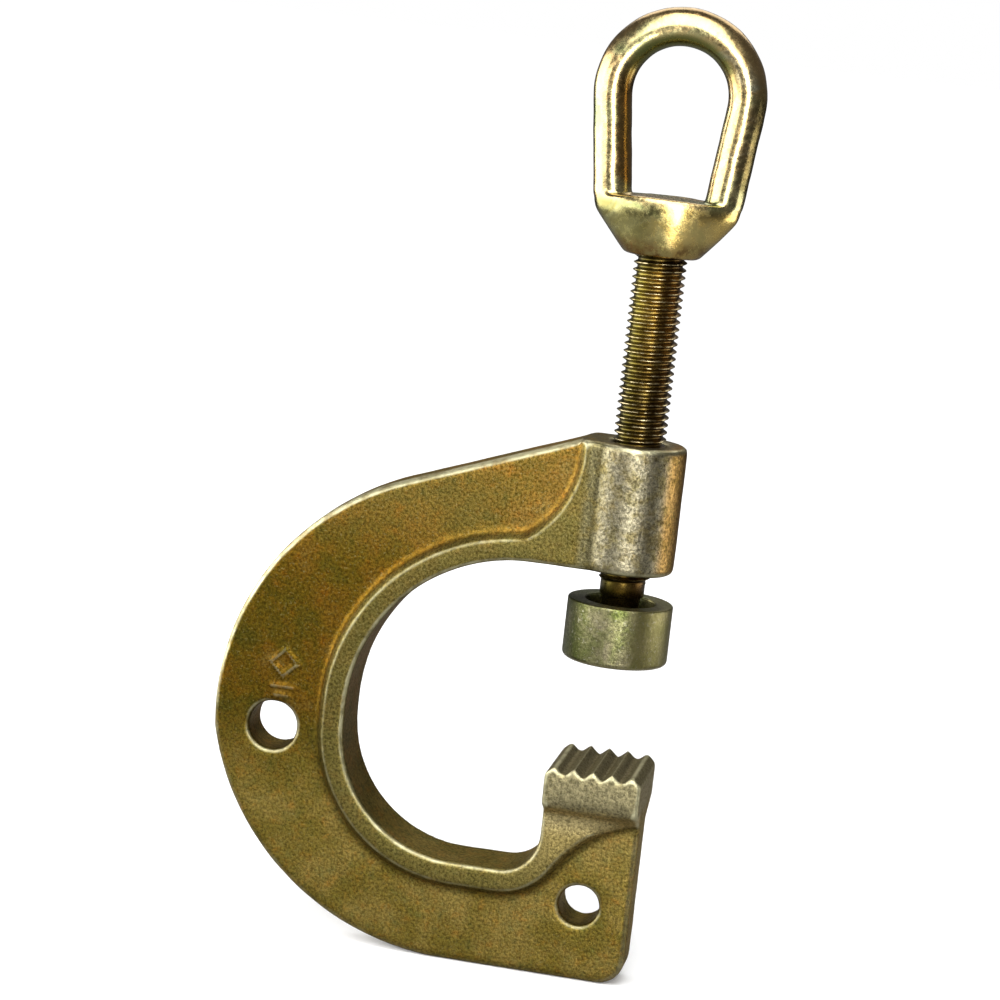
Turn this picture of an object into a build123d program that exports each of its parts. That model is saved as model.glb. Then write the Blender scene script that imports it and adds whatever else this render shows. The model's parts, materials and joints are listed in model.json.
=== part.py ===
from build123d import *
import os
from math import atan, cos, degrees, hypot, radians, tan

# Screw beam clamp with a lifting eye. All sizes are in millimetres.
# Origin: on the spindle axis, level with the tips of the jaw teeth.
# +Z runs up the spindle towards the eye, +X out of the mouth of the C, Y across its thickness.

# --- Fits and gaps ---
running_clearance = 0.05      # radial, a shaft in its bore
seat_gap = 0.05               # axial, between faces that turn on each other
touching = 0.01               # two things nearer than this are taken to meet

# --- Thread and spindle ---
thread_diameter = 17.9        # over the crests
thread_pitch = 2.5
thread_depth_share = 0.54     # thread depth over pitch
thread_runout = 4.4           # plain core below the boss, where the thread stops
thread_below_boss = 4.4       # thread that shows under the boss as stored
waist_diameter = 12.9
journal_diameter = 17.0       # plain end that turns in the pad
journal_length = 8.0
thrust_nose_height = 1.2
thrust_nose_diameter = 11.0
spindle_free_length = 63.3    # thread that shows between boss and eye as stored

# --- Pressure pad and its ring ---
pad_diameter = 36.0
pad_height = 20.7
pad_stored_gap = 10.8         # pad rim to the underside of the boss as stored
pad_floor = 4.0               # metal under the spindle's nose
pad_recess_diameter = 24.0
pad_face_radius = 1.8
pad_rim_chamfer = 0.6
ring_wire = 1.6
ring_bite = 0.7               # how far the ring reaches into its groove
ring_lip = 0.85               # metal that holds the ring down
ring_edge_radius = 0.25
ring_split = 28.0             # degrees, the gap that lets the ring close for fitting

# --- C frame, side view ---
throat_depth = 89.0           # spindle axis to the back wall of the throat
mouth_height = 67.2           # teeth to the underside of the boss
throat_drop = 40.6            # teeth down to the floor of the throat
throat_flat = 6.0             # straight stretch of the back wall
throat_lower_radius = 42.5
throat_jaw_radius = 14.0
spine_width = 46.4            # back wall of the throat to the heel corner
lower_arm_height = 35.9
boss_height = 43.9
boss_radius = 16.6
heel_drop = 6.5               # heel corner below the teeth
heel_lean_up = 5.6            # degrees, the back above the heel
heel_lean_down = 13.8         # degrees, the back below the heel
heel_land = 1.0
heel_radius = 9.0
arm_slope = 20.6              # degrees, the top of the upper arm
shoulder_reach = 16.7         # spindle axis to where the slope starts
shoulder_radius = 6.0
toe_radius = 9.0

# --- C frame, thicknesses ---
web_thickness = 18.0
rim_thickness = 26.0
rim_width = 7.3
rim_step_run = 2.8            # how far the sloped side of the rim spreads
cheek_reach = 34.0            # spindle axis to the point where the cheek leaves the rim
cheek_side = 18.8
cheek_rise = 28.9
gusset_turn = 59.0            # degrees, how far the rim turns up before the gusset
gusset_drop = 16.3            # where the gusset meets the end face, below the teeth
edge_radius = 2.2
boss_edge_radius = 1.6
rim_edge_radius = 1.0

# --- Jaw ---
tooth_pitch = 6.65
tooth_count = 5
tooth_depth = 2.8
tooth_land = 0.5
jaw_thickness = 39.0
jaw_side_height = 14.0
jaw_shoulder_drop = 5.8
jaw_corner_radius = 1.0

# --- Holes through the web ---
rear_hole_diameter = 17.0
rear_hole_inset = 20.9        # heel corner to the hole's axis
rear_hole_drop = 3.0
hole_chamfer = 0.8
lower_hole_diameter = 14.0
lower_hole_rise = 26.6        # bottom edge to the hole's axis
lower_hole_offset = 1.2

# --- Lifting eye ---
eye_bar_diameter = 13.0
eye_bend_radius = 22.6        # to the middle of the bar
eye_height = 35.6             # top of the base to the centre of the bend
eye_taper = 6.5               # degrees, each side
eye_base_height = 18.0
eye_base_depth = 27.0
eye_base_foot_width = 27.5
eye_base_foot_depth = 23.0
eye_base_corner_radius = 8.0
eye_base_cheek = 4.5          # straight side above the tapered underside
eye_thread_depth = 14.0
pin_diameter = 4.0
pin_bore_diameter = 2.4
pin_slit = 0.8
pin_bevel = 0.4
pin_length = 18.0
pin_sink = 0.5                # below the face of the eye's base

# --- Levels and places that follow from the sizes above ---
thread_radius = thread_diameter / 2
core_radius = thread_radius - thread_depth_share * thread_pitch
boss_bottom = mouth_height
boss_top = mouth_height + boss_height
frame_bottom = -(throat_drop + lower_arm_height)
jaw_half = tooth_pitch * tooth_count / 2
throat_back = -throat_depth
heel_x = throat_back - spine_width
pad_top = boss_bottom - pad_stored_gap
pad_open = pad_top - pad_height
eye_base_bottom = boss_top + spindle_free_length
eye_base_top = eye_base_bottom + eye_base_height

os.makedirs("parts", exist_ok=True)


def finish(piece, name):
    """Labels a finished piece and writes it."""
    piece.label = name
    export_step(piece, f"parts/{name}.step")


# =====================================================================
# C frame
# =====================================================================

# The back of the C is two straight runs that meet at the heel, and big radii blend them
# into the sloping upper arm and the flat lower edge.
slope = tan(radians(arm_slope))
lean_up = -tan(radians(heel_lean_up))
lean_down = tan(radians(heel_lean_down))
nape_z = (boss_top + (heel_x + heel_drop * lean_up + shoulder_reach) * slope) / (1 - lean_up * slope)
nape_x = heel_x + (nape_z + heel_drop) * lean_up
keel_x = heel_x + (-heel_drop - frame_bottom) * lean_down
upper_run = hypot(nape_x - heel_x, nape_z + heel_drop)
lower_run = hypot(keel_x - heel_x, frame_bottom + heel_drop)
upper_back_radius = (upper_run - heel_land) / tan(radians(90 - arm_slope + heel_lean_up) / 2)
lower_back_radius = (lower_run - heel_land) / tan(radians(90 - heel_lean_down) / 2)
throat_upper_radius = mouth_height + throat_drop - throat_lower_radius - throat_flat
jaw_root = -jaw_side_height / 2

with BuildSketch(Plane.XZ) as outline:
    with BuildLine():
        Polyline(
            (0, boss_top),
            (-shoulder_reach, boss_top),
            (nape_x, nape_z),
            (heel_x, -heel_drop),
            (keel_x, frame_bottom),
            (jaw_half, frame_bottom),
            (jaw_half, jaw_root),
            (0, jaw_root),
            close=True,
        )
    make_face()
    for corner_x, corner_z, radius in [
        (nape_x, nape_z, upper_back_radius),
        (keel_x, frame_bottom, lower_back_radius),
        (jaw_half, frame_bottom, toe_radius),
        (heel_x, -heel_drop, heel_radius),
        (-shoulder_reach, boss_top, shoulder_radius),
    ]:
        corner = outline.vertices().sort_by_distance((corner_x, corner_z))[0]
        fillet(corner, radius)

# The throat, drawn past the mouth so that one cut opens it.
mouth_x = 2 * jaw_half + boss_radius
with BuildSketch(Plane.XZ) as throat:
    with BuildLine():
        Polyline(
            (throat_back, mouth_height),
            (throat_back, -throat_drop),
            (-jaw_half, -throat_drop),
            (-jaw_half, jaw_root),
            (mouth_x, jaw_root),
            (mouth_x, mouth_height),
            close=True,
        )
    make_face()
    for corner_x, corner_z, radius in [
        (throat_back, mouth_height, throat_upper_radius),
        (throat_back, -throat_drop, throat_lower_radius),
        (-jaw_half, -throat_drop, throat_jaw_radius),
    ]:
        corner = throat.vertices().sort_by_distance((corner_x, corner_z))[0]
        fillet(corner, radius)

# The raised rim follows the throat. A cheek joins it to the boss, and a gusset to the jaw.
rim_foot = rim_width + rim_step_run
cheek_foot_z = mouth_height + rim_foot
gusset_x = -jaw_half - throat_jaw_radius
past_edge = boss_radius + spine_width
with BuildSketch(Plane.XZ) as rim:
    add(throat.sketch_local)
    offset(amount=rim_foot, kind=Kind.INTERSECTION)
with BuildSketch(Plane.XZ) as cheek:
    with BuildLine():
        cheek_top = (-cheek_side, cheek_foot_z + cheek_rise)
        cheek_arc = TangentArc(cheek_top, (-cheek_reach, cheek_foot_z), tangent=(0, -1))
        cheek_tail = cheek_arc @ 1 + (cheek_arc % 1) * rim_foot
        Polyline(
            cheek_arc @ 1,
            cheek_tail,
            (cheek_tail.X, mouth_height),
            (0, mouth_height),
            (0, boss_top + past_edge),
            (-cheek_side, boss_top + past_edge),
            cheek_top,
        )
    make_face()
with BuildSketch(Plane.XZ) as gusset:
    with BuildLine():
        gusset_arc = JernArc(
            (gusset_x, -throat_drop - rim_foot), (1, 0), throat_jaw_radius + rim_foot, gusset_turn
        )
        gusset_end = (jaw_half, -gusset_drop - rim_step_run)
        TangentArc(gusset_arc @ 1, gusset_end, tangent=gusset_arc % 1)
        Polyline(
            gusset_end,
            (mouth_x, -gusset_drop - rim_step_run),
            (mouth_x, 0),
            (gusset_x, 0),
            (gusset_x, -throat_drop - rim_foot),
        )
    make_face()

# Half of the raised level: its sloped side starts on the web and ends at the rim's top.
rim_rise = (rim_thickness - web_thickness) / 2
rim_draft = degrees(atan(rim_step_run / rim_rise))
with BuildPart() as raised_half:
    for region in (rim, cheek, gusset):
        with BuildSketch(Plane.XZ.offset(web_thickness / 2)):
            add(region.sketch_local)
        extrude(amount=rim_rise, taper=rim_draft)
        with BuildSketch(Plane.XZ):
            add(region.sketch_local)
        extrude(amount=web_thickness / 2)


def plate(thickness):
    """The whole outline as a plate with rounded edges."""
    with BuildPart() as slab:
        with BuildSketch(Plane.XZ):
            add(outline.sketch_local)
        extrude(amount=thickness / 2, both=True)
        side_edges = slab.faces().filter_by(Axis.Y).edges()
        fillet(side_edges, edge_radius)
    return slab.part


web = plate(web_thickness)
rim_plate = plate(rim_thickness)

with BuildPart() as raised_level:
    add(raised_half.part)
    mirror(about=Plane.XZ)
    add(rim_plate, mode=Mode.INTERSECT)

# The jaw block widens below its toothed face with a shoulder on each side.
jaw_side_y = jaw_thickness / 2
shoulder_z = -jaw_side_height - jaw_shoulder_drop
with BuildPart() as jaw:
    with BuildSketch(Plane.YZ):
        with BuildLine():
            Polyline(
                (-jaw_side_y, 0),
                (-jaw_side_y, -jaw_side_height),
                (-web_thickness / 2, shoulder_z),
                (web_thickness / 2, shoulder_z),
                (jaw_side_y, -jaw_side_height),
                (jaw_side_y, 0),
                close=True,
            )
        make_face()
    extrude(amount=jaw_half, both=True)
    fillet(jaw.edges().filter_by(Axis.Z), jaw_corner_radius)
    # Teeth: V grooves between the tips, and a half groove at each end.
    with BuildSketch(Plane.XZ):
        for groove in range(tooth_count + 1):
            root_x = -jaw_half + groove * tooth_pitch
            tip_reach = (tooth_pitch - tooth_land) / 2
            with BuildLine():
                Polyline(
                    (root_x - tip_reach, 0),
                    (root_x, -tooth_depth),
                    (root_x + tip_reach, 0),
                    close=True,
                )
            make_face()
    extrude(amount=jaw_thickness, both=True, mode=Mode.SUBTRACT)

with BuildPart() as boss:
    with Locations((0, 0, boss_bottom)):
        Cylinder(boss_radius, boss_height, align=(Align.CENTER, Align.CENTER, Align.MIN))
    fillet(boss.edges().filter_by(GeomType.CIRCLE), boss_edge_radius)



def on_throat_wall(edge):
    """True for an edge that runs along the wall of the throat, at any depth."""
    middle = Vector(edge.center().X, 0, edge.center().Z)
    wall = throat.sketch.edges().sort_by_distance(middle)[0]
    return wall.distance_to(middle) < touching


boss_bore_radius = thread_radius + running_clearance
web_front = -web_thickness / 2
rear_hole = Plane((heel_x + rear_hole_inset, web_front, -rear_hole_drop), z_dir=(0, 1, 0))
lower_hole = Plane((-lower_hole_offset, web_front, frame_bottom + lower_hole_rise), z_dir=(0, 1, 0))
with BuildPart() as c_frame:
    add(web)
    add(raised_level.part)
    with BuildSketch(Plane.XZ):
        add(throat.sketch_local)
    extrude(amount=jaw_thickness, both=True, mode=Mode.SUBTRACT)
    # The rim's two edges along the throat.
    outer_edges = [
        edge for edge in c_frame.edges() if abs(abs(edge.center().Y) - rim_thickness / 2) < touching
    ]
    rim_edges = [edge for edge in outer_edges if on_throat_wall(edge)]
    fillet(rim_edges, rim_edge_radius)
    add(jaw.part)
    add(boss.part)
    # The threaded bore and the two holes through the web, each with a chamfer at both ends.
    bores = [
        (Plane((0, 0, boss_bottom)), boss_height, boss_bore_radius),
        (rear_hole, web_thickness, rear_hole_diameter / 2),
        (lower_hole, web_thickness, lower_hole_diameter / 2),
    ]
    for bore_plane, bore_length, bore_radius in bores:
        with BuildSketch(bore_plane):
            Circle(bore_radius)
        extrude(amount=bore_length, mode=Mode.SUBTRACT)
        chamfer(c_frame.edges(Select.LAST).filter_by(GeomType.CIRCLE), hole_chamfer)
finish(c_frame.part, "c_frame")

# =====================================================================
# Pressure pad, its ring and the spindle, from the pad's face up
# =====================================================================
journal_radius = journal_diameter / 2
pad_bore_radius = journal_radius + running_clearance
floor_z = pad_open + pad_floor
nose_z = floor_z + seat_gap
journal_bottom = nose_z + thrust_nose_height
journal_top = journal_bottom + journal_length
ring_bottom = journal_top + seat_gap
ring_top = ring_bottom + ring_wire
groove_top = ring_top + seat_gap
recess_floor = groove_top + ring_lip
ring_outer = pad_bore_radius + ring_bite
groove_radius = ring_outer + seat_gap

with BuildPart() as pressure_pad:
    with Locations((0, 0, pad_open)):
        Cylinder(pad_diameter / 2, pad_height, align=(Align.CENTER, Align.CENTER, Align.MIN))
    fillet(pressure_pad.edges().group_by(Axis.Z)[0], pad_face_radius)
    with BuildSketch(Plane.XZ):
        with BuildLine():
            Polyline(
                (0, floor_z),
                (pad_bore_radius, floor_z),
                (pad_bore_radius, journal_top),
                (groove_radius, journal_top),
                (groove_radius, groove_top),
                (pad_bore_radius, groove_top),
                (pad_bore_radius, recess_floor),
                (pad_recess_diameter / 2, recess_floor),
                (pad_recess_diameter / 2, pad_top),
                (0, pad_top),
                close=True,
            )
        make_face()
    revolve(axis=Axis.Z, mode=Mode.SUBTRACT)
    chamfer(pressure_pad.edges().group_by(Axis.Z)[-1], pad_rim_chamfer)
finish(pressure_pad.part, "pressure_pad")

with BuildPart() as pad_ring:
    with BuildSketch(Plane.XZ):
        with Locations((ring_outer - ring_wire / 2, ring_bottom + ring_wire / 2)):
            Rectangle(ring_wire, ring_wire)
    revolve(axis=Axis.Z, revolution_arc=360 - ring_split)
    fillet(pad_ring.edges().filter_by(GeomType.CIRCLE), ring_edge_radius)
finish(pad_ring.part, "pad_retaining_ring")

core_bottom = boss_bottom - thread_below_boss - thread_runout
thread_bottom = boss_bottom - thread_below_boss
thread_bevel = thread_radius - core_radius
spindle_top = eye_base_bottom + eye_thread_depth - seat_gap
pin_z = eye_base_bottom + eye_thread_depth / 2
taper_share = (pin_z - eye_base_bottom) / (eye_base_height - eye_base_cheek)
pin_end_y = (eye_base_foot_depth + (eye_base_depth - eye_base_foot_depth) * taper_share) / 2 - pin_sink
pin_bore = Plane((0, 0, pin_z), x_dir=(1, 0, 0), z_dir=(0, 1, 0))
with BuildPart() as spindle:
    with BuildSketch(Plane.XZ):
        with BuildLine():
            Polyline(
                (0, nose_z),
                (thrust_nose_diameter / 2, journal_bottom),
                (journal_radius, journal_bottom),
                (journal_radius, journal_top),
                (waist_diameter / 2, journal_top),
                (waist_diameter / 2, core_bottom),
                (core_radius, core_bottom),
                (core_radius, thread_bottom),
                (thread_radius, thread_bottom + thread_bevel),
                (thread_radius, spindle_top - thread_bevel),
                (core_radius, spindle_top),
                (0, spindle_top),
                close=True,
            )
        make_face()
    revolve(axis=Axis.Z)
    with Locations(pin_bore.offset(pin_end_y - pin_length)):
        Cylinder(
            pin_diameter / 2 + running_clearance,
            pin_length + thread_diameter,
            align=(Align.CENTER, Align.CENTER, Align.MIN),
            mode=Mode.SUBTRACT,
        )
finish(spindle.part, "spindle")

# =====================================================================
# Lifting eye and the spring pin that locks it to the spindle
# =====================================================================
bar_radius = eye_bar_diameter / 2
bend_z = eye_base_top + eye_height
leg_lean = tan(radians(eye_taper))
leg_reach = eye_bend_radius / cos(radians(eye_taper))
leg_root_z = eye_base_top - bar_radius
leg_root_x = leg_reach - (bend_z - leg_root_z) * leg_lean
cheek_half_width = leg_reach - (bend_z - eye_base_top) * leg_lean + bar_radius
with BuildPart() as lifting_eye:
    with BuildLine(Plane.XZ) as bar_path:
        bend = CenterArc((0, bend_z), eye_bend_radius, -eye_taper, 180 + 2 * eye_taper)
        Line((leg_root_x, leg_root_z), bend @ 0)
        Line(bend @ 1, (-leg_root_x, leg_root_z))
    with BuildSketch(Plane(origin=bar_path.line @ 0, z_dir=bar_path.line % 0)):
        Circle(bar_radius)
    sweep()
    # The forged base: a straight-sided block over a tapered underside.
    with BuildSketch(Plane.XY.offset(eye_base_bottom)):
        RectangleRounded(eye_base_foot_width, eye_base_foot_depth, eye_base_corner_radius)
    with BuildSketch(Plane.XY.offset(eye_base_top - eye_base_cheek)):
        RectangleRounded(2 * cheek_half_width, eye_base_depth, eye_base_corner_radius)
    loft()
    with BuildSketch(Plane.XY.offset(eye_base_top - eye_base_cheek)):
        RectangleRounded(2 * cheek_half_width, eye_base_depth, eye_base_corner_radius)
    extrude(amount=eye_base_cheek)
    with Locations((0, 0, eye_base_bottom)):
        Cylinder(
            thread_radius + running_clearance,
            eye_thread_depth,
            align=(Align.CENTER, Align.CENTER, Align.MIN),
            mode=Mode.SUBTRACT,
        )
    with Locations(pin_bore.offset(pin_end_y - pin_length)):
        Cylinder(
            pin_diameter / 2 + running_clearance,
            pin_length + thread_diameter,
            align=(Align.CENTER, Align.CENTER, Align.MIN),
            mode=Mode.SUBTRACT,
        )
finish(lifting_eye.part, "lifting_eye")

with BuildPart() as eye_lock_pin:
    with Locations(pin_bore.offset(pin_end_y - pin_length)):
        Cylinder(pin_diameter / 2, pin_length, align=(Align.CENTER, Align.CENTER, Align.MIN))
    chamfer(eye_lock_pin.edges(), pin_bevel)
    with Locations(pin_bore.offset(pin_end_y - pin_length)):
        Cylinder(
            pin_bore_diameter / 2,
            pin_length,
            align=(Align.CENTER, Align.CENTER, Align.MIN),
            mode=Mode.SUBTRACT,
        )
        Box(
            pin_diameter,
            pin_slit,
            pin_length,
            align=(Align.MIN, Align.CENTER, Align.MIN),
            mode=Mode.SUBTRACT,
        )
finish(eye_lock_pin.part, "eye_lock_pin")
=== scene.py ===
import json
from math import atan2, cos, hypot, pi, radians, sin, sqrt

import bmesh
import bpy
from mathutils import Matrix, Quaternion, Vector, noise


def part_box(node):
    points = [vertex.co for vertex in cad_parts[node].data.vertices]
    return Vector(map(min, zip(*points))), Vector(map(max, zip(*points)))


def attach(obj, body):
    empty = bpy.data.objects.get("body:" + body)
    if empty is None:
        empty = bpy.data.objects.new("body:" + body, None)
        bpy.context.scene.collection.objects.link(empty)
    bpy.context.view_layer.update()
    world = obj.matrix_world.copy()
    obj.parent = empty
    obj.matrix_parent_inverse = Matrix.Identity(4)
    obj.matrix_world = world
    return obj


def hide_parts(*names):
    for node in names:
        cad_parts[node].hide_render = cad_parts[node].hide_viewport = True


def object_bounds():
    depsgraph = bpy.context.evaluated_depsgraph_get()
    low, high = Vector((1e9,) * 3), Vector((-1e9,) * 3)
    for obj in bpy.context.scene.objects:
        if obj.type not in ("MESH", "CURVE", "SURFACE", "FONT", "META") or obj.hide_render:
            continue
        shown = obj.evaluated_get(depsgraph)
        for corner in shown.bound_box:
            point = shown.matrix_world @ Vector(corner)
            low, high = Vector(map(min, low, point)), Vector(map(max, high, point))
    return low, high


# Screw beam clamp with a lifting eye: a yellow-zinc forging, a threaded spindle and a swivelling pad.
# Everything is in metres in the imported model's frame: +Z up the spindle, +X out of the mouth of the C.

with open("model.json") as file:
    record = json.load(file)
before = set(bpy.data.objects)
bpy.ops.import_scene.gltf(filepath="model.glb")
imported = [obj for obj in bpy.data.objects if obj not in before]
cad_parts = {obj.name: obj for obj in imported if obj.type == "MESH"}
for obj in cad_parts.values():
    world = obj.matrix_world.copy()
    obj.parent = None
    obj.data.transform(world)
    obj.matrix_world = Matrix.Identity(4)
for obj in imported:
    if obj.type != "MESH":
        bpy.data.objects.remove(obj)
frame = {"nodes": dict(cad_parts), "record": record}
cad_low, cad_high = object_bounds()

MM = 0.001

# ---------------------------------------------------------------------------------------------
# Places and sizes, from the frame
# ---------------------------------------------------------------------------------------------
spindle_low, spindle_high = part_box("spindle")
eye_low, eye_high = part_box("lifting_eye")
pad_low, pad_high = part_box("pressure_pad")
ring_low, ring_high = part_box("pad_retaining_ring")

boss_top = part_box("c_frame")[1].z
crest_radius = spindle_high.x
# The screw's travel per radian of turn, over a whole turn.
pitch = frame["record"]["behaviour"]["couplings"][0]["ratio"] * 2 * pi

# ---------------------------------------------------------------------------------------------
# Camera
# ---------------------------------------------------------------------------------------------
object_centre = (cad_low + cad_high) / 2
camera_azimuth = radians(9.34)
camera_elevation = radians(9.44)
camera_roll = radians(6.33)
camera_distance = 1.0920
camera_lens = 115.2
# The view is centred a little below the middle of the object, on the side of the mouth.
camera_aim = object_centre + Vector((8.2, 0, -5.4)) * MM


def direction(azimuth, elevation):
    """A unit vector out of the object: azimuth 0 is the -Y side, turning towards +X."""
    return Vector((
        sin(azimuth) * cos(elevation),
        -cos(azimuth) * cos(elevation),
        sin(elevation),
    ))


def make_camera():
    data = bpy.data.cameras.new("camera")
    data.lens = camera_lens
    data.clip_start = 0.05
    camera = bpy.data.objects.new("camera", data)
    bpy.context.scene.collection.objects.link(camera)
    back = direction(camera_azimuth, camera_elevation)
    camera.location = camera_aim + back * camera_distance
    level = (-back).to_track_quat("-Z", "Y")
    camera.rotation_mode = "QUATERNION"
    camera.rotation_quaternion = level @ Quaternion((0, 0, 1), camera_roll)
    bpy.context.scene.camera = camera


make_camera()

# ---------------------------------------------------------------------------------------------
# Materials
# ---------------------------------------------------------------------------------------------


class Finish:
    """A metal finish, built up as a chain of shader nodes on Object coordinates."""

    def __init__(self, name):
        self.material = bpy.data.materials.new(name)
        self.material.use_nodes = True
        self.tree = self.material.node_tree
        self.tree.nodes.clear()
        output = self.tree.nodes.new("ShaderNodeOutputMaterial")
        self.shader = self.tree.nodes.new("ShaderNodeBsdfPrincipled")
        self.place = self.tree.nodes.new("ShaderNodeTexCoord").outputs["Object"]
        self.tree.links.new(self.shader.outputs[0], output.inputs["Surface"])

    def set(self, socket, value):
        """Links an output to a node's input, or sets the input's own value."""
        if isinstance(value, bpy.types.NodeSocket):
            self.tree.links.new(value, socket)
        else:
            socket.default_value = value

    def noise(self, size, detail=4, roughness=0.55, distortion=0.0, stretch=(1, 1, 1)):
        """A value near 0.5 that varies over features of about this size."""
        node = self.tree.nodes.new("ShaderNodeTexNoise")
        node.inputs["Scale"].default_value = 1 / size
        node.inputs["Detail"].default_value = detail
        node.inputs["Roughness"].default_value = roughness
        node.inputs["Distortion"].default_value = distortion
        source = self.place
        if stretch != (1, 1, 1):
            mapping = self.tree.nodes.new("ShaderNodeMapping")
            mapping.inputs["Scale"].default_value = stretch
            self.set(mapping.inputs["Vector"], self.place)
            source = mapping.outputs[0]
        self.set(node.inputs["Vector"], source)
        return node.outputs["Fac"]

    def cells(self, size):
        """The distance to the nearest of many scattered points, about this far apart."""
        node = self.tree.nodes.new("ShaderNodeTexVoronoi")
        node.inputs["Scale"].default_value = 1 / size
        self.set(node.inputs["Vector"], self.place)
        return node.outputs["Distance"]

    def places(self):
        """The place along X, Y and Z and the distance from the spindle's axis."""
        node = self.tree.nodes.new("ShaderNodeSeparateXYZ")
        self.set(node.inputs[0], self.place)
        across, deep, up = (node.outputs[axis] for axis in "XYZ")
        squares = self.math("ADD", self.product(across, across), self.product(deep, deep))
        return across, deep, up, self.math("SQRT", squares)

    def scaled(self, tint, factor):
        """The colour made lighter or darker by a factor."""
        node = self.tree.nodes.new("ShaderNodeVectorMath")
        node.operation = "SCALE"
        self.set(node.inputs[0], tint)
        self.set(node.inputs["Scale"], factor)
        return node.outputs[0]

    def attribute(self, name):
        """A value that the mesh holds for each vertex."""
        node = self.tree.nodes.new("ShaderNodeAttribute")
        node.attribute_name = name
        return node.outputs["Fac"]

    def spread(self, value, low, high, to_low=0.0, to_high=1.0):
        """Maps low..high onto to_low..to_high with a smooth step, clamped."""
        node = self.tree.nodes.new("ShaderNodeMapRange")
        node.interpolation_type = "SMOOTHSTEP"
        self.set(node.inputs["Value"], value)
        for socket, number in (
            ("From Min", low), ("From Max", high), ("To Min", to_low), ("To Max", to_high),
        ):
            self.set(node.inputs[socket], number)
        return node.outputs["Result"]

    def math(self, operation, a, b=0.0):
        node = self.tree.nodes.new("ShaderNodeMath")
        node.operation = operation
        self.set(node.inputs[0], a)
        self.set(node.inputs[1], b)
        return node.outputs[0]

    def product(self, value, *others):
        """Shares multiplied together."""
        for other in others:
            value = self.math("MULTIPLY", value, other)
        return value

    def mix(self, share, a, b, blend="MIX"):
        """Colour a with this share of colour b over it."""
        node = self.tree.nodes.new("ShaderNodeMix")
        node.data_type = "RGBA"
        node.blend_type = blend
        self.set(node.inputs["Factor"], share)
        self.set(node.inputs["A"], a)
        self.set(node.inputs["B"], b)
        return node.outputs["Result"]

    def ramp(self, value, *stops):
        """A colour from a list of (position, colour) stops."""
        node = self.tree.nodes.new("ShaderNodeValToRGB")
        elements = node.color_ramp.elements
        while len(elements) < len(stops):
            elements.new(1.0)
        for element, (position, tint) in zip(elements, stops):
            element.position = position
            element.color = tint
        self.set(node.inputs["Fac"], value)
        return node.outputs["Color"]

    def bump(self, height, distance, strength=1.0, under=None):
        """A normal that follows a height of 0 to 1 over this distance, on top of another bump."""
        node = self.tree.nodes.new("ShaderNodeBump")
        node.inputs["Distance"].default_value = distance
        node.inputs["Strength"].default_value = strength
        self.set(node.inputs["Height"], height)
        if under is not None:
            self.set(node.inputs["Normal"], under)
        return node.outputs["Normal"]


def colour(red, green, blue):
    """A linear colour with full alpha."""
    return (red, green, blue, 1.0)


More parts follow.
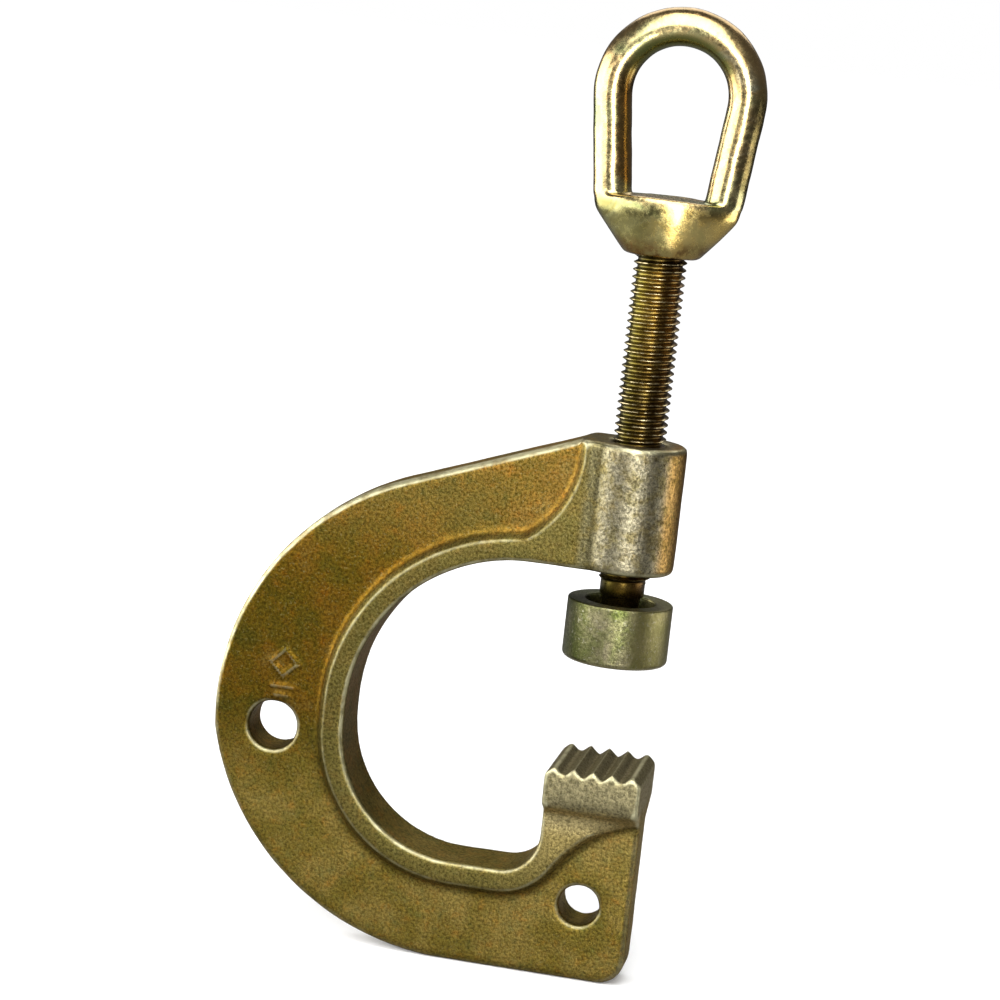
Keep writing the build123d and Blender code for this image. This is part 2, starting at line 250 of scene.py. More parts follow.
def zinc_forging():
    """Yellow zinc over a blasted forging: granular, patchy, bright where edges have worn, with painted
    highlight, reflection and shade in places.
    """
    finish = Finish("zinc_forging")
    shader = finish.shader
    across, deep, up, out = finish.places()
    patches = finish.noise(16 * MM, detail=4, roughness=0.6, distortion=0.3)
    tint = finish.ramp(
        patches,
        (0.34, colour(0.064, 0.050, 0.006)),
        (0.46, colour(0.088, 0.056, 0.005)),
        (0.58, colour(0.114, 0.060, 0.006)),
        (0.72, colour(0.112, 0.080, 0.018)),
    )
    tint = finish.scaled(tint, finish.spread(up, 45 * MM, 90 * MM, 1.0, 1.35))
    arm = finish.spread(up, 55 * MM, 85 * MM, 0.0, 0.35)
    tint = finish.mix(arm, tint, colour(0.185, 0.124, 0.036))
    # The foot is lighter than the back of the C.
    lower_lighter = finish.spread(up, 8 * MM, -34 * MM, 0.0, 0.9)
    tint = finish.mix(lower_lighter, tint, finish.mix(
        finish.spread(patches, 0.38, 0.66), colour(0.165, 0.122, 0.022), colour(0.240, 0.175, 0.044),
    ))
    mottle = finish.noise(4.5 * MM, detail=5, roughness=0.75)
    rusty = finish.spread(mottle, 0.52, 0.66, 0.0, 0.8)
    tint = finish.mix(rusty, tint, colour(1.32, 1.00, 0.80), "MULTIPLY")
    mossy = finish.spread(mottle, 0.48, 0.34, 0.0, 0.8)
    tint = finish.mix(mossy, tint, colour(0.68, 0.84, 0.95), "MULTIPLY")
    # The raised rim is greyer than the web.
    proud = finish.spread(finish.math("ABSOLUTE", deep), 9.8 * MM, 11.5 * MM, 0.0, 0.65)
    tint = finish.mix(proud, tint, colour(0.118, 0.102, 0.031))
    # The machined boss and the jaw are paler and greyer, with a ragged edge.
    ragged = finish.noise(5 * MM, detail=4, roughness=0.65)
    on_boss = finish.product(
        finish.spread(out, 21 * MM, 18.5 * MM), finish.spread(up, 60 * MM, 68 * MM),
        finish.spread(ragged, 0.36, 0.56, 0.35, 0.95),
    )
    # Painted shade and reflection: the boss is darker olive on its left side and orange on its right
    # side.
    boss_tint_and_reflections = finish.mix(
        finish.spread(across, -6 * MM, -12 * MM, 0.0, 0.8),
        colour(0.232, 0.208, 0.136), colour(0.100, 0.086, 0.030),
    )
    boss_tint_and_reflections = finish.mix(
        finish.spread(across, 10 * MM, 14 * MM, 0.0, 0.85), boss_tint_and_reflections, colour(0.270, 0.150, 0.034),
    )
    tint = finish.mix(on_boss, tint, boss_tint_and_reflections)
    on_foot = finish.product(
        finish.spread(across, -40 * MM, -22 * MM), finish.spread(up, 20 * MM, 8 * MM),
    )
    gusset = finish.product(
        on_foot, finish.spread(up, -48 * MM, -22 * MM, 0.0, 0.9),
        finish.spread(proud, 0.2, 0.6, 0.3, 1.0),
    )
    tint = finish.mix(gusset, tint, colour(0.330, 0.255, 0.092))
    # Painted light: a pale band on the downward-facing slope under the jaw block, where shade falls.
    under_jaw_painted_light = finish.product(
        finish.spread(up, -27 * MM, -19 * MM, 0.0, 0.7), finish.spread(up, -12 * MM, -15 * MM),
        on_foot, proud,
    )
    tint = finish.mix(under_jaw_painted_light, tint, colour(0.560, 0.470, 0.250))
    jaw_line = finish.math("ADD", up, finish.product(ragged, 7 * MM))
    jaw = finish.product(on_foot, finish.spread(jaw_line, -13.5 * MM, -8.5 * MM, 0.0, 0.9))
    tint = finish.mix(jaw, tint, colour(0.215, 0.190, 0.105))
    # Blasted grain, pale flecks and dark pits.
    grain = finish.noise(1.0 * MM, detail=4, roughness=0.75)
    tint = finish.scaled(tint, finish.spread(grain, 0.36, 0.64, 0.50, 1.54))
    flecks = finish.spread(finish.noise(0.8 * MM, detail=2, roughness=0.6), 0.60, 0.70, 0.0, 0.45)
    tint = finish.mix(flecks, tint, colour(0.24, 0.20, 0.075))
    pits = finish.spread(finish.noise(1.5 * MM, detail=3, roughness=0.7), 0.38, 0.31, 0.0, 0.7)
    tint = finish.mix(pits, tint, colour(0.030, 0.020, 0.004))
    # Proud edges are rubbed bright and carry a painted highlight, strongest along the back's upper edge.
    # Hollows get painted shade low down and are amber above, but not round the jaw.
    worn_and_lit = finish.product(
        finish.spread(finish.attribute("convexity_and_highlight"), 0.20, 0.55),
        finish.spread(finish.noise(5 * MM), 0.34, 0.60, 0.40, 1.0),
    )
    tint = finish.mix(worn_and_lit, tint, colour(0.50, 0.47, 0.29))
    # Painted shade: hollows are darkened low down, and turn amber higher up.
    hollow_shade_and_amber = finish.spread(finish.attribute("convexity_and_highlight"), -0.18, -0.50, 0.0, 0.65)
    at_jaw = finish.product(on_foot, finish.spread(jaw_line, -24 * MM, -16 * MM, 0.0, 0.9))
    hollow_shade_and_amber = finish.product(hollow_shade_and_amber, finish.math("SUBTRACT", 1.0, at_jaw))
    tint = finish.mix(hollow_shade_and_amber, tint, finish.mix(
        finish.spread(up, -8 * MM, 8 * MM), colour(0.030, 0.022, 0.005), colour(0.240, 0.130, 0.018),
    ))
    finish.set(shader.inputs["Base Color"], tint)
    shader.inputs["Metallic"].default_value = 1.0
    shader.inputs["Specular Tint"].default_value = colour(0.85, 0.76, 0.66)
    finish.set(shader.inputs["Roughness"], finish.product(
        finish.spread(on_boss, 0.0, 0.9, 1.0, 0.72), finish.spread(grain, 0.3, 0.7, 0.52, 0.38),
    ))
    dimples = finish.bump(finish.cells(1.1 * MM), 0.05 * MM, 0.8)
    finish.set(shader.inputs["Normal"], finish.bump(grain, 0.15 * MM, 0.9, dimples))
    return finish.material


def bronze_thread():
    """Rolled thread: dark bronze zinc with gold glints where the crests have rubbed."""
    finish = Finish("bronze_thread")
    shader = finish.shader
    film = finish.noise(7 * MM, detail=4, distortion=0.8)
    tint = finish.ramp(
        film,
        (0.32, colour(0.066, 0.039, 0.010)),
        (0.50, colour(0.132, 0.085, 0.018)),
        (0.66, colour(0.230, 0.165, 0.046)),
    )
    across, _, up, out = finish.places()
    thread_middle = (boss_top + eye_low.z) / 2
    # Painted reflections: the left side of the thread is tinted green and the right side red-brown.
    green_reflection_side = finish.spread(across, 0, -6 * MM, 0.0, 0.65)
    tint = finish.mix(green_reflection_side, tint, colour(0.105, 0.098, 0.016))
    brown_reflection_side = finish.spread(across, 1 * MM, 6 * MM, 0.0, 0.55)
    tint = finish.mix(brown_reflection_side, tint, colour(0.110, 0.052, 0.014))
    # Painted shade: darker towards the boss, and in the shade just under the eye.
    tint = finish.scaled(tint, finish.product(
        finish.spread(up, thread_middle - 22 * MM, thread_middle + 20 * MM, 0.62, 1.35),
        finish.spread(up, eye_low.z - 6 * MM, eye_low.z - 2 * MM, 1.0, 0.35),
    ))
    rubbed = finish.product(
        finish.spread(out, crest_radius - 0.5 * MM, crest_radius),
        finish.spread(finish.noise(2.5 * MM), 0.40, 0.62),
    )
    tint = finish.mix(rubbed, tint, colour(0.48, 0.40, 0.22))
    finish.set(shader.inputs["Base Color"], tint)
    shader.inputs["Metallic"].default_value = 1.0
    scratches = finish.noise(0.6 * MM, detail=3, stretch=(1, 1, 6))
    finish.set(shader.inputs["Roughness"], finish.spread(scratches, 0.3, 0.7, 0.22, 0.40))
    finish.set(shader.inputs["Normal"], finish.bump(scratches, 0.02 * MM, 0.6))
    return finish.material


def bright_zinc():
    """Bright yellow zinc over a smooth forging: glossy, green and amber by turns, with painted
    reflection and shade on the loop and the base.
    """
    finish = Finish("bright_zinc")
    shader = finish.shader
    film = finish.noise(13 * MM, detail=3, distortion=0.9)
    tint = finish.ramp(
        film,
        (0.30, colour(0.260, 0.280, 0.120)),
        (0.46, colour(0.440, 0.385, 0.185)),
        (0.60, colour(0.520, 0.370, 0.165)),
        (0.76, colour(0.500, 0.480, 0.320)),
    )
    across, _, up, _ = finish.places()
    # Painted reflection and shade by which way the bars face: inside the loop the bars are amber and the
    # bend is green. Outside, both are a lighter brown.
    inward = finish.attribute("inward")
    on_bend = finish.spread(up, bend_height, bend_height + 12 * MM)
    on_left = finish.spread(across, 5 * MM, -5 * MM)
    inside_painted_reflection = finish.product(
        finish.spread(inward, 0.10, 0.60, 0.0, 0.85), finish.math("MAXIMUM", on_bend, on_left),
    )
    tint = finish.mix(inside_painted_reflection, tint, finish.mix(
        on_bend, colour(0.270, 0.140, 0.030), colour(0.075, 0.092, 0.014),
    ))
    on_right = finish.spread(across, 8 * MM, 18 * MM)
    outside_painted_reflection = finish.product(
        finish.spread(inward, -0.35, -0.85, 0.0, 0.8), finish.math("MAXIMUM", on_bend, on_right),
    )
    tint = finish.mix(outside_painted_reflection, tint, finish.mix(
        on_bend, colour(0.210, 0.160, 0.045), colour(0.400, 0.260, 0.110),
    ))
    stain = finish.spread(finish.noise(3.2 * MM, detail=4, roughness=0.7), 0.56, 0.74, 0.0, 0.4)
    tint = finish.mix(stain, tint, colour(0.160, 0.095, 0.025))
    # Painted shade and light: the base runs from green on its left side to amber on its right. It is
    # darker brown round its foot.
    on_base = finish.spread(up, base_top + 1 * MM, base_top - 2 * MM)
    base_painted_sides = finish.mix(
        finish.spread(across, -9 * MM, 10 * MM),
        colour(0.125, 0.128, 0.034), colour(0.600, 0.430, 0.120),
    )
    film_here = finish.product(on_base, finish.spread(film, 0.36, 0.62, 0.45, 0.85))
    tint = finish.mix(film_here, tint, base_painted_sides)
    smudge = finish.noise(3.8 * MM, detail=4, roughness=0.7)
    brown_foot = finish.product(
        on_base, finish.spread(up, eye_low.z + 8 * MM, eye_low.z + 2 * MM),
        finish.spread(smudge, 0.40, 0.60, 0.40, 0.95),
    )
    tint = finish.mix(brown_foot, tint, colour(0.150, 0.082, 0.026))
    finish.set(shader.inputs["Base Color"], tint)
    shader.inputs["Metallic"].default_value = 1.0
    peel = finish.noise(1.6 * MM, detail=4, roughness=0.6)
    finish.set(shader.inputs["Roughness"], finish.spread(peel, 0.3, 0.7, 0.17, 0.30))
    finish.set(shader.inputs["Normal"], finish.bump(peel, 0.07 * MM, 0.7))
    return finish.material


def olive_pad():
    """Turned steel under olive zinc, with a fine sandy surface."""
    finish = Finish("olive_pad")
    shader = finish.shader
    film = finish.noise(9 * MM, detail=4, distortion=0.5)
    tint = finish.ramp(
        film,
        (0.34, colour(0.080, 0.092, 0.026)),
        (0.52, colour(0.160, 0.150, 0.072)),
        (0.70, colour(0.225, 0.195, 0.120)),
    )
    sand = finish.noise(1.2 * MM, detail=4, roughness=0.7)
    tint = finish.scaled(tint, finish.spread(sand, 0.36, 0.64, 0.60, 1.45))
    across, _, up, _ = finish.places()
    # Painted reflection and highlight: the middle is made lighter, the left flank dark green and the
    # right flank yellow-olive.
    flank_painted_reflection = finish.spread(finish.math("ABSOLUTE", across), 4 * MM, 11 * MM, 0.0, 0.75)
    tint = finish.mix(flank_painted_reflection, finish.scaled(tint, 1.25), finish.mix(
        finish.spread(across, -6 * MM, 6 * MM), colour(0.046, 0.052, 0.013), colour(0.190, 0.165, 0.058),
    ))
    flecks = finish.spread(finish.noise(1.0 * MM, detail=2), 0.60, 0.70, 0.0, 0.45)
    tint = finish.mix(flecks, tint, colour(0.36, 0.34, 0.25))
    lip = finish.spread(up, pad_low.z + 1.3 * MM, pad_low.z + 0.5 * MM, 0.0, 0.6)
    tint = finish.mix(lip, tint, colour(0.46, 0.41, 0.26))
    finish.set(shader.inputs["Base Color"], tint)
    shader.inputs["Metallic"].default_value = 1.0
    finish.set(shader.inputs["Roughness"], finish.spread(sand, 0.3, 0.7, 0.44, 0.32))
    finish.set(shader.inputs["Normal"], finish.bump(sand, 0.16 * MM, 0.8))
    return finish.material


def spring_steel():
    """Oiled spring wire with lengthwise drawing marks."""
    finish = Finish("spring_steel")
    shader = finish.shader
    marks = finish.noise(0.5 * MM, detail=3)
    finish.set(shader.inputs["Base Color"], finish.ramp(
        marks,
        (0.3, colour(0.16, 0.15, 0.13)),
        (0.7, colour(0.30, 0.29, 0.27)),
    ))
    shader.inputs["Metallic"].default_value = 1.0
    finish.set(shader.inputs["Roughness"], finish.spread(marks, 0.3, 0.7, 0.24, 0.40))
    finish.set(shader.inputs["Normal"], finish.bump(marks, 0.02 * MM, 0.5))
    return finish.material


# ---------------------------------------------------------------------------------------------
# Making pieces
# ---------------------------------------------------------------------------------------------


def clamped(share):
    """The share, kept between 0 and 1."""
    return min(1.0, max(0.0, share))


def everything(builder):
    """All that the bmesh holds, for an operator's geom."""
    return builder.verts[:] + builder.edges[:] + builder.faces[:]


def node_copy(name):
    """A CAD node's mesh in a new bmesh, with its loose triangles joined up."""
    builder = bmesh.new()
    builder.from_mesh(frame["nodes"][name].data)
    bmesh.ops.remove_doubles(builder, verts=builder.verts, dist=1e-6)
    return builder


def new_object(name, builder):
    """Turns a finished bmesh into an object in the scene."""
    mesh = bpy.data.meshes.new(name)
    builder.to_mesh(mesh)
    builder.free()
    thing = bpy.data.objects.new(name, mesh)
    bpy.context.scene.collection.objects.link(thing)
    return thing


def add_piece(name, builder, material, body, replaced, sharp_angle):
    """Turns a finished bmesh into a piece that stands for one CAD node."""
    piece = new_object(name, builder)
    piece.data.shade_smooth()
    piece.data.set_sharp_from_angle(angle=radians(sharp_angle))
    piece.data.materials.append(material)
    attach(piece, body)
    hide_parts(replaced)


def profile_edges(builder, points):
    """A chain of vertices in the XZ half-plane, ready to spin about the spindle's axis."""
    verts = [builder.verts.new((radius, 0, height)) for radius, height in points]
    edges = [builder.edges.new(pair) for pair in zip(verts, verts[1:])]
    return verts + edges


def lathe(points, steps):
    """A closed turned solid: the outline is (radius, height) pairs that start and end on the axis."""
    builder = bmesh.new()
    bmesh.ops.spin(
        builder, geom=profile_edges(builder, points), cent=(0, 0, 0), axis=(0, 0, 1),
        angle=2 * pi, steps=steps, use_merge=True,
    )
    bmesh.ops.remove_doubles(builder, verts=builder.verts, dist=1e-6)
    bmesh.ops.dissolve_degenerate(builder, edges=builder.edges, dist=1e-7)
    bmesh.ops.recalc_face_normals(builder, faces=builder.faces)
    return builder


def fused(name, builder, voxel):
    """One skin over everything in the bmesh, from a voxel remesh."""
    rough = new_object(name, builder)
    mesh = rough.data
    remesh = rough.modifiers.new("skin", "REMESH")
    remesh.mode = "VOXEL"
    remesh.voxel_size = voxel
    skin = bmesh.new()
    skin.from_object(rough, bpy.context.evaluated_depsgraph_get())
    bpy.data.objects.remove(rough)
    bpy.data.meshes.remove(mesh)
    return skin


def soften(builder, rounds, keep=None):
    """Rounds the edges of a dense skin. Vertices that keep() accepts stay as they are."""
    loose = [vert for vert in builder.verts if keep is None or not keep(vert.co)]
    for _ in range(rounds):
        bmesh.ops.smooth_vert(
            builder, verts=loose, factor=0.5, use_axis_x=True, use_axis_y=True, use_axis_z=True,
        )


def measure_convexity(builder, rounds, full):
    """Writes how far each vertex stands proud of its smoothed surroundings, 1 at full."""
    layer = builder.verts.layers.float.new("convexity_and_highlight")
    builder.normal_update()
    places = [vert.co.copy() for vert in builder.verts]
    soften(builder, rounds)
    for vert, place in zip(builder.verts, places):
        vert[layer] = (place - vert.co).dot(vert.normal) / full
        vert.co = place


def undulate(builder, size, depth, keep=None):
    """The uneven skin that a hammer die leaves: a slow wave in and out along the normals."""
    builder.normal_update()
    moves = [vert.normal * depth * noise.noise(vert.co / size) for vert in builder.verts]
    for vert, move in zip(builder.verts, moves):
        if keep is None or not keep(vert.co):
            vert.co += move


# ---------------------------------------------------------------------------------------------
# C frame
# ---------------------------------------------------------------------------------------------
forging_voxel = 0.80 * MM
web_face = -9.0 * MM
mark_x, mark_z = -112.5 * MM, 19.5 * MM
mark_relief = 0.42 * MM
mark_stroke = 0.9 * MM
lozenge_reach = 4.6 * MM
# Half length of each bar, and how far it lies below the middle of the lozenge.
mark_bars = ((3.6 * MM, 8.3 * MM), (2.2 * MM, 11.3 * MM))
mark_bright_limit = 0.30
mark_bright_radius = 11 * MM
arm_end = -18 * MM
back_highlight = 0.42


def on_teeth(place):
    """True on the toothed top of the jaw block."""
    return -9 * MM < place.z < 8 * MM and place.x > -22 * MM


def off_shoulder(place):
    """True away from the two faces of the foot where the jaw block stands out."""
    on_face = abs(place.x) < 14.5 * MM and abs(place.y) > 9.5 * MM
    return not on_face or not -23 * MM < place.z < -7 * MM


def raise_mark(builder):
    """A plain forging mark on the back of the C: an open lozenge over two bars."""
    for vert in builder.verts:
        if vert.co.y > web_face + 1 * MM:
            continue
        x = vert.co.x - mark_x
        z = vert.co.z - mark_z
        to_lozenge = abs(abs(x) + abs(z) - lozenge_reach) / sqrt(2)
        to_bars = min(hypot(max(0, abs(x) - half), z + below) for half, below in mark_bars)
        vert.co.y -= mark_relief * clamped(1.5 - min(to_lozenge, to_bars) / mark_stroke)


def paint_back_highlight(builder):
    """Paints a highlight along the outer edge of the back and the arm, on faces turned up and back and
    stronger higher up, but not on the mark.
    """
    layer = builder.verts.layers.float["convexity_and_highlight"]
    up_and_back = Vector((-0.6, 0, 0.8))
    for vert in builder.verts:
        if vert.co.x < arm_end and abs(vert.co.y) < -web_face + 0.2 * MM:
            above_foot = clamped(vert.co.z / (25 * MM))
            to_edge = clamped((abs(vert.co.y) - 1.5 * MM) / (4 * MM))
            facing = clamped((vert.normal.dot(up_and_back) - 0.25) / 0.4)
            vert[layer] += back_highlight * above_foot * to_edge * facing
        if hypot(vert.co.x - mark_x, vert.co.z - mark_z + 3 * MM) < mark_bright_radius:
            vert[layer] = min(vert[layer], mark_bright_limit)


def make_forging(material):
    skin = fused("c_frame_rough", node_copy("c_frame"), forging_voxel)
    # The teeth stay crisp, the other edges are rounder, and the step under the jaw fades into the foot.
    soften(skin, 2)
    soften(skin, 3, keep=on_teeth)
    soften(skin, 40, keep=off_shoulder)
    undulate(skin, 9 * MM, 0.12 * MM, keep=on_teeth)
    raise_mark(skin)
    measure_convexity(skin, 5, 0.32 * MM)
    paint_back_highlight(skin)
    add_piece("c_frame_forging", skin, material, "frame", "c_frame", 180)


# ---------------------------------------------------------------------------------------------
# Spindle
# ---------------------------------------------------------------------------------------------
thread_depth = 0.54 * pitch
thread_steps = 60
turned_steps = 96
mouth_height = 67.2 * MM
thread_below_boss = 4.4 * MM
thread_runout = 4.4 * MM
waist_radius = 6.45 * MM
journal_radius = 8.5 * MM
nose_radius = 5.6 * MM
nose_height = 1.2 * MM
spindle_chamfer = 0.4 * MM
ring_clearance = 0.05 * MM
core_radius = crest_radius - thread_depth
thread_bottom = mouth_height - thread_below_boss
thread_top = spindle_high.z


def make_thread():
    """The helix: one turn, swept up by the pitch, then repeated and cut square at both ends."""
    spare_turns = 3
    turns = int((thread_top - thread_bottom) / pitch) + spare_turns
    builder = bmesh.new()
    # Radius and share of the pitch, over one ridge.
    outline = [
        (core_radius, 0.0),
        (core_radius, 0.12),
        (core_radius + 0.10 * thread_depth, 0.17),
        (crest_radius - 0.10 * thread_depth, 0.42),
        (crest_radius, 0.46),
        (crest_radius, 0.54),
        (crest_radius - 0.10 * thread_depth, 0.58),
        (core_radius + 0.10 * thread_depth, 0.83),
        (core_radius, 0.88),
        (core_radius, 1.0),
    ]
    start = thread_bottom - spare_turns / 2 * pitch
    chain = profile_edges(builder, [(radius, start + share * pitch) for radius, share in outline])
    bmesh.ops.spin(
        builder, geom=chain, cent=(0, 0, 0), axis=(0, 0, 1), dvec=(0, 0, pitch / thread_steps),
        angle=2 * pi, steps=thread_steps, use_merge=False,
    )
    one_turn = everything(builder)
    for turn in range(1, turns):
        copied = bmesh.ops.duplicate(builder, geom=one_turn)["geom"]
        bmesh.ops.translate(
            builder, verts=[item for item in copied if isinstance(item, bmesh.types.BMVert)],
            vec=(0, 0, turn * pitch),
        )
    bmesh.ops.remove_doubles(builder, verts=builder.verts, dist=5e-6)
    for height, upwards in ((thread_bottom, -1), (thread_top, 1)):
        bmesh.ops.bisect_plane(
            builder, geom=everything(builder),
            plane_co=(0, 0, height), plane_no=(0, 0, upwards), clear_outer=True,
        )
    # The ridge dies away over most of the last turn at each end.
    for vert in builder.verts:
        radius = hypot(vert.co.x, vert.co.y)
        to_end = min(vert.co.z - thread_bottom, thread_top - vert.co.z)
        wanted = core_radius + (radius - core_radius) * clamped(to_end / (0.9 * pitch))
        vert.co.x *= wanted / radius
        vert.co.y *= wanted / radius
    open_rims = [edge for edge in builder.edges if edge.is_boundary]
    bmesh.ops.holes_fill(builder, edges=open_rims, sides=0)
    bmesh.ops.recalc_face_normals(builder, faces=builder.faces)
    return builder


def turned_end():
    """The turned lower end: nose, journal, waist and plain core, into the foot of the thread."""
    journal_foot = spindle_low.z + nose_height
    journal_top = ring_low.z - ring_clearance
    core_foot = thread_bottom - thread_runout
    inside_thread = thread_bottom + 0.2 * MM
    return lathe([
        (0, spindle_low.z),
        (nose_radius - 0.4 * MM, spindle_low.z + 0.1 * MM),
        (nose_radius, journal_foot),
        (journal_radius - spindle_chamfer, journal_foot),
        (journal_radius, journal_foot + spindle_chamfer),
        (journal_radius, journal_top - spindle_chamfer),
        (journal_radius - spindle_chamfer, journal_top),
        (waist_radius + spindle_chamfer, journal_top),
        (waist_radius, journal_top + spindle_chamfer),
        (waist_radius, core_foot - 0.5 * MM),
        (waist_radius + 0.5 * MM, core_foot),
        (core_radius - 0.25 * MM, core_foot),
        (core_radius, core_foot + 0.25 * MM),
        (core_radius, inside_thread),
        (0, inside_thread),
    ], turned_steps)


def make_spindle(material):
    builder = make_thread()
    turned = turned_end()
    scrap = bpy.data.meshes.new("turned_end")
    turned.to_mesh(scrap)
    turned.free()
    builder.from_mesh(scrap)
    bpy.data.meshes.remove(scrap)
    add_piece("threaded_spindle", builder, material, "screw", "spindle", 50)


# ---------------------------------------------------------------------------------------------
# Lifting eye
# ---------------------------------------------------------------------------------------------
eye_voxel = 0.5 * MM
bend_height = eye_high.z - 29.1 * MM
base_top = eye_low.z + 18.0 * MM
base_sides = 72
ridge_height = 1.3 * MM
ridge_reach = 25 * MM
# Height above the foot, half width, half depth and squareness of the base's plan, in millimetres.
base_plans = (
    (0.0, 11.6, 9.6, 2.4),
    (0.5, 12.9, 10.6, 2.4),
    (3.0, 15.2, 11.6, 2.2),
    (11.5, 22.4, 13.0, 1.9),
    (13.5, 23.9, 13.3, 1.85),
    (15.5, 24.6, 13.4, 1.85),
    (17.8, 24.9, 13.1, 1.85),
    (18.5, 24.6, 12.3, 1.85),
)
# The rings that rise to a ridge in the middle.
ridge_rings = (17.8, 18.5)


def rounded(value, power):
    """A power that keeps the sign, for the rounded lozenge."""
    return (1 if value >= 0 else -1) * abs(value) ** power


def add_base(builder):
    """The solid foot of the eye: a lozenge plan that tapers under the bars."""
    edges = []
    rings = []
    for height, half_width, half_depth, square in base_plans:
        ring = bmesh.ops.create_circle(builder, segments=base_sides, radius=1.0)["verts"]
        for vert in ring:
            angle = atan2(vert.co.y, vert.co.x)
            vert.co.x = half_width * MM * rounded(cos(angle), 2 / square)
            vert.co.y = half_depth * MM * rounded(sin(angle), 2 / square)
            vert.co.z = eye_low.z + height * MM
            if height in ridge_rings:
                vert.co.z += ridge_height * (1 - (vert.co.x / ridge_reach) ** 2)
        rings.append(ring)
        edges += list({edge for vert in ring for edge in vert.link_edges})
    bmesh.ops.bridge_loops(builder, edges=edges)
    for ring in (rings[0], rings[-1]):
        bmesh.ops.contextual_create(builder, geom=ring)


def make_eye(material):
    builder = node_copy("lifting_eye")
    bmesh.ops.bisect_plane(
        builder, geom=everything(builder),
        plane_co=(0, 0, base_top + 0.05 * MM), plane_no=(0, 0, -1), clear_outer=True,
    )
    bmesh.ops.holes_fill(builder, edges=[edge for edge in builder.edges if edge.is_boundary], sides=0)
    add_base(builder)
    bmesh.ops.recalc_face_normals(builder, faces=builder.faces)
    skin = fused("eye_rough", builder, eye_voxel)
    soften(skin, 9)
    undulate(skin, 7 * MM, 0.15 * MM)
    skin.normal_update()
    # How far each vertex faces the middle of the loop, fading out towards the base.
    layer = skin.verts.layers.float.new("inward")
    for vert in skin.verts:
        middle = Vector((0, 0, min(vert.co.z, bend_height)))
        towards = (middle - Vector((vert.co.x, 0, vert.co.z))).normalized()
        above_base = clamped((vert.co.z - base_top - 2 * MM) / (6 * MM))
        vert[layer] = vert.normal.dot(towards) * above_base
    add_piece("forged_eye", skin, material, "screw", "lifting_eye", 180)


# ---------------------------------------------------------------------------------------------
# Pressure pad
# ---------------------------------------------------------------------------------------------
pad_edge = 1.8 * MM
pad_lip = 0.7 * MM
recess_radius = 12.0 * MM
recess_floor = ring_high.z + 0.9 * MM
bore_radius = ring_high.x - 0.65 * MM
bore_floor = pad_low.z + 4 * MM
groove_radius = ring_high.x + ring_clearance
groove_top = ring_high.z + ring_clearance
groove_foot = ring_low.z - ring_clearance
pad_steps = 128


def corner(radius, height, size, start, end, steps=6):
    """Points of a rounded corner about (radius, height), from one angle to another in degrees."""
    for step in range(steps + 1):
        angle = radians(start + (end - start) * step / steps)
        yield (radius + size * cos(angle), height + size * sin(angle))


def make_pad(material):
    outer = pad_high.x
    outline = [(0, pad_low.z)]
    outline += corner(outer - pad_edge, pad_low.z + pad_edge, pad_edge, -90, 0)
    outline += corner(outer - pad_lip, pad_high.z - pad_lip, pad_lip, 0, 90)
    outline += corner(recess_radius + pad_lip, pad_high.z - pad_lip, pad_lip, 90, 180)
    outline += [
        (recess_radius, recess_floor),
        (bore_radius, recess_floor),
        (bore_radius, groove_top),
        (groove_radius, groove_top),
        (groove_radius, groove_foot),
        (bore_radius, groove_foot),
        (bore_radius, bore_floor),
        (0, bore_floor),
    ]
    add_piece(
        "turned_pad", lathe(outline, pad_steps), material, "pad", "pressure_pad", 30,
    )


# ---------------------------------------------------------------------------------------------
# Floor, light and world
# ---------------------------------------------------------------------------------------------
floor_size = 15
floor_bounce = 0.28
# The floor turns white to the camera between these distances from the origin.
white_from, white_to = 0.30, 0.90
world_light = 0.14


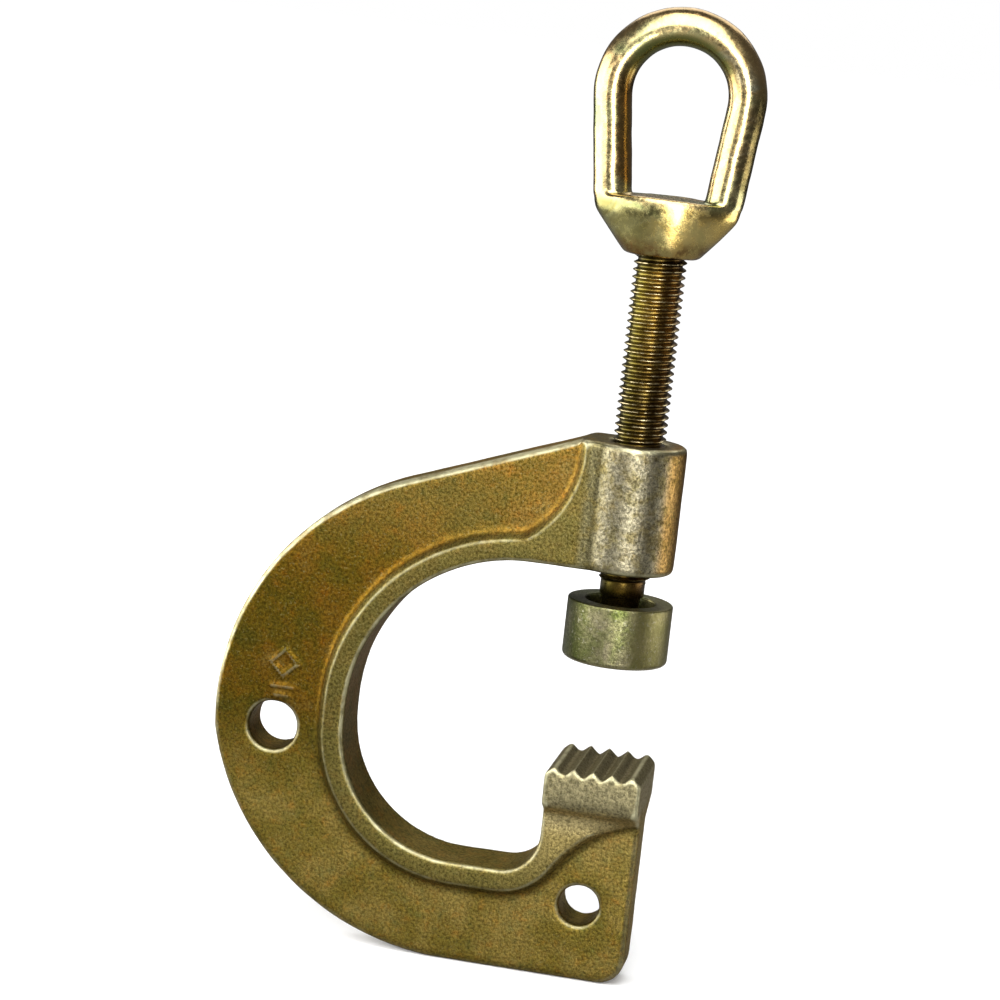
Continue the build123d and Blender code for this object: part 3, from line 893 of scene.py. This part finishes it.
def make_floor():
    """A pale floor. Reflections see it dimmer than the camera does, as if flags stood round it."""
    builder = bmesh.new()
    bmesh.ops.create_grid(builder, x_segments=1, y_segments=1, size=floor_size)
    bmesh.ops.translate(builder, verts=builder.verts, vec=(0, 0, cad_low.z))
    floor = new_object("floor", builder)
    finish = Finish("pale_floor")
    seen = finish.tree.nodes.new("ShaderNodeLightPath").outputs["Is Camera Ray"]
    far = finish.tree.nodes.new("ShaderNodeVectorMath")
    far.operation = "LENGTH"
    finish.set(far.inputs[0], finish.place)
    glow = finish.spread(far.outputs["Value"], white_from, white_to, 0.12, 0.95)
    shader = finish.shader
    finish.set(shader.inputs["Base Color"], finish.mix(
        seen, colour(floor_bounce, floor_bounce, floor_bounce), colour(0.9, 0.9, 0.9),
    ))
    shader.inputs["Roughness"].default_value = 0.9
    shader.inputs["Specular IOR Level"].default_value = 0.0
    shader.inputs["Emission Color"].default_value = colour(1, 1, 1)
    finish.set(shader.inputs["Emission Strength"], finish.product(glow, seen))
    floor.data.materials.append(finish.material)


def soft_light(name, azimuth, elevation, distance, width, height, radiance):
    """A soft box that faces the object. The camera doesn't see it."""
    data = bpy.data.lights.new(name, "AREA")
    data.shape = "RECTANGLE"
    data.size = width
    data.size_y = height
    data.energy = radiance * pi * width * height
    light = bpy.data.objects.new(name, data)
    bpy.context.scene.collection.objects.link(light)
    back = direction(radians(azimuth), radians(elevation))
    light.location = object_centre + back * distance
    light.rotation_mode = "QUATERNION"
    light.rotation_quaternion = (-back).to_track_quat("-Z", "Y")
    light.visible_camera = False


def make_world():
    """White to the camera, dim to everything else."""
    world = bpy.data.worlds.new("studio")
    world.use_nodes = True
    bpy.context.scene.world = world
    tree = world.node_tree
    background = tree.nodes["Background"]
    path = tree.nodes.new("ShaderNodeLightPath")
    strength = tree.nodes.new("ShaderNodeMapRange")
    strength.inputs["To Min"].default_value = world_light
    strength.inputs["To Max"].default_value = 1.0
    tree.links.new(path.outputs["Is Camera Ray"], strength.inputs["Value"])
    tree.links.new(strength.outputs["Result"], background.inputs["Strength"])
    background.inputs["Color"].default_value = colour(1, 1, 1)


make_floor()
make_world()
# Azimuth and elevation in degrees, then distance, width, height and radiance.
soft_light("overhead", 0, 50, 0.75, 0.55, 0.95, 5.5)
soft_light("left_box", -84, 8, 0.62, 0.78, 0.55, 5.5)
soft_light("left_high", -38, 10, 0.62, 0.28, 0.17, 5.5)
soft_light("front_strip", 14, 4, 0.70, 0.17, 0.50, 12.0)
soft_light("right_low", 100, -6, 0.60, 0.40, 0.16, 4.0)
soft_light("back_top", 180, 50, 0.80, 0.80, 0.45, 2.0)

bpy.context.scene.view_settings.view_transform = "Standard"

# ---------------------------------------------------------------------------------------------
# The object
# ---------------------------------------------------------------------------------------------
make_forging(zinc_forging())
make_spindle(bronze_thread())
make_eye(bright_zinc())
make_pad(olive_pad())
spring = spring_steel()
for node in ("pad_retaining_ring", "eye_lock_pin"):
    part = frame["nodes"][node]
    part.data.materials.clear()
    part.data.materials.append(spring)
